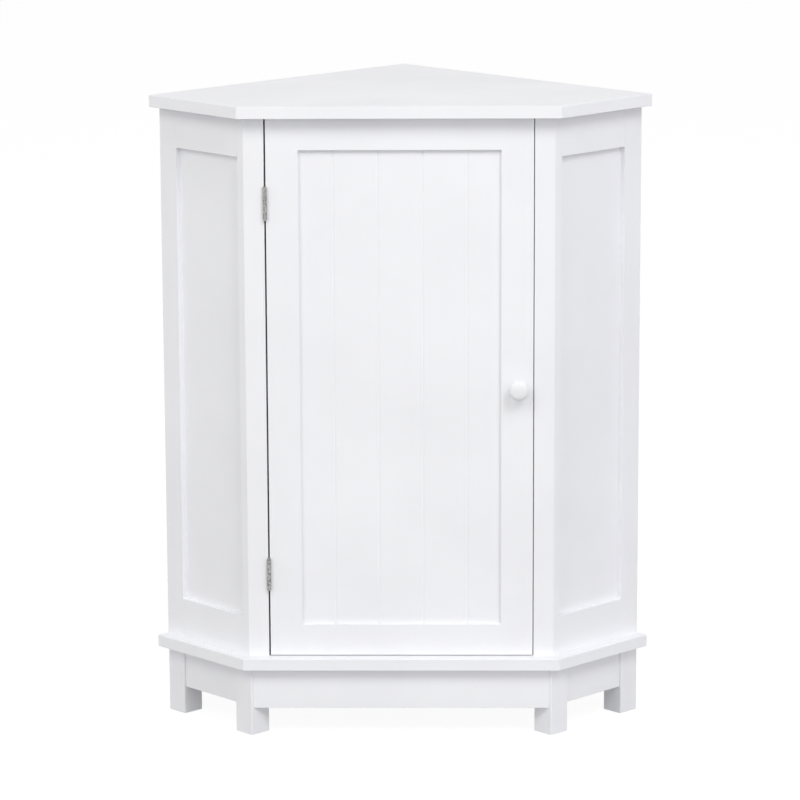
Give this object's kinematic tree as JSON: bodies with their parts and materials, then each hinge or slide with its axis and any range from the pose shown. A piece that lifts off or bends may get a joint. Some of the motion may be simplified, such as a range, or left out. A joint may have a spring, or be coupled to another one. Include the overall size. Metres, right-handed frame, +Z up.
{
  "type": "corner cabinet",
  "caption": "Freestanding corner storage cabinet with angled framed sides, a planked hinged door with a round knob, an inner shelf and a raised base of square legs.",
  "frame": {"origin": "on the floor, in the middle of the overall width and of the overall depth, knob included", "axes": "+Z up; the door faces -Y; the square back corner, which goes into the corner of a room, points to +Y; +X is to the right of someone facing the door"},
  "size_m": [0.6272, 0.4314, 0.8],
  "materials": {
    "carcass_paint": "satin white paint on fibreboard",
    "door_paint": "satin white paint on fibreboard",
    "knob_paint": "semi-gloss white paint on turned wood",
    "hinge_steel": "dull nickel-plated steel",
    "pin_steel": "plain steel wire",
    "screw_steel": "zinc-plated steel",
    "catch_plastic": "moulded white plastic",
    "magnet": "sintered ferrite",
    "catch_steel": "zinc-plated steel",
    "shelf_pin_steel": "nickel-plated steel"
  },
  "bodies": {
    "carcass": {"back_leg": "carcass_paint", "bottom_panel": "carcass_paint", "catch_housing": "catch_plastic", "catch_magnet": "magnet", "catch_pole_plates": "catch_steel", "front_apron": "carcass_paint", "left_apron": "carcass_paint", "left_back_panel": "carcass_paint", "left_front_leg": "carcass_paint", "left_front_post": "carcass_paint", "left_side_bottom_rail": "carcass_paint", "left_side_leg": "carcass_paint", "left_side_panel": "carcass_paint", "left_side_top_rail": "carcass_paint", "left_wall_stile": "carcass_paint", "lower_hinge_pin": "pin_steel", "lower_hinge_post_leaf": "hinge_steel", "right_apron": "carcass_paint", "right_back_panel": "carcass_paint", "right_front_leg": "carcass_paint", "right_front_post": "carcass_paint", "right_side_bottom_rail": "carcass_paint", "right_side_leg": "carcass_paint", "right_side_panel": "carcass_paint", "right_side_top_rail": "carcass_paint", "right_wall_stile": "carcass_paint", "shelf_pins": "shelf_pin_steel", "top_panel": "carcass_paint", "upper_hinge_pin": "pin_steel", "upper_hinge_post_leaf": "hinge_steel"},
    "door": {"door_bottom_rail": "door_paint", "door_hinge_stile": "door_paint", "door_knob": "knob_paint", "door_latch_stile": "door_paint", "door_panel": "door_paint", "door_top_rail": "door_paint", "knob_screw": "screw_steel", "lower_hinge_door_leaf": "hinge_steel", "strike_plate": "catch_steel", "upper_hinge_door_leaf": "hinge_steel"},
    "shelf": {"shelf": "carcass_paint"}
  },
  "joints": [
    {"name": "door_hinge", "type": "hinge", "parent": "carcass", "child": "door", "pos_m": [-0.16512, -0.19889, 0], "axis": [0, 0, -1], "range_deg": [0, 165]},
    {"name": "shelf_lift", "type": "slide", "parent": "carcass", "child": "shelf", "axis": [0, 0, 1], "range_m": [0, 0.1]}
  ]
}
